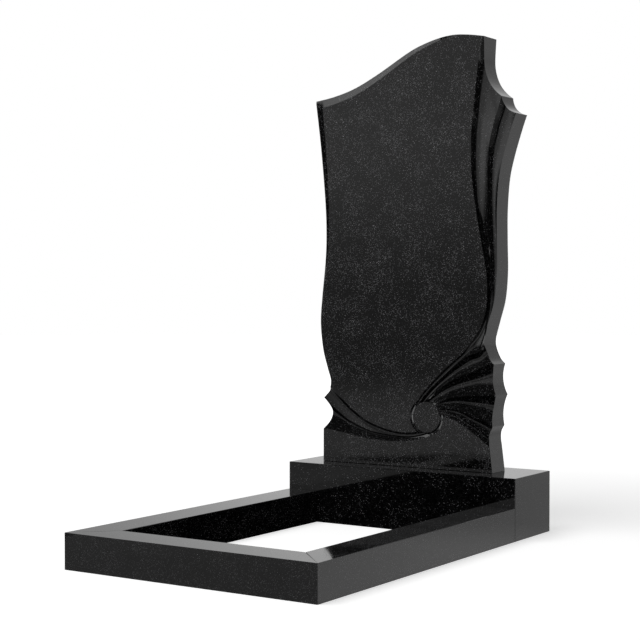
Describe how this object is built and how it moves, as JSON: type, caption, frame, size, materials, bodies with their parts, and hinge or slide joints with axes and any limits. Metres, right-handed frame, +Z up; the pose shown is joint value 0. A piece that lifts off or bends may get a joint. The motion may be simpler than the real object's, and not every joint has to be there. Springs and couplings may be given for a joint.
{
  "type": "headstone",
  "caption": "Black granite headstone: an asymmetric wavy stele carved with sweeping flutes and a round boss, on a block base, with a low kerb around a planting bed.",
  "frame": {"origin": "middle of the footprint, on the ground", "axes": "+Z up, the carved front faces -Y, +X to the right of somebody who faces the front"},
  "size_m": [0.6, 0.96, 1.1311],
  "materials": {
    "black_granite": "polished"
  },
  "bodies": {
    "root": {"stele": "black_granite", "base_block": "black_granite", "kerb_front": "black_granite", "kerb_left": "black_granite", "kerb_right": "black_granite"}
  },
  "joints": []
}
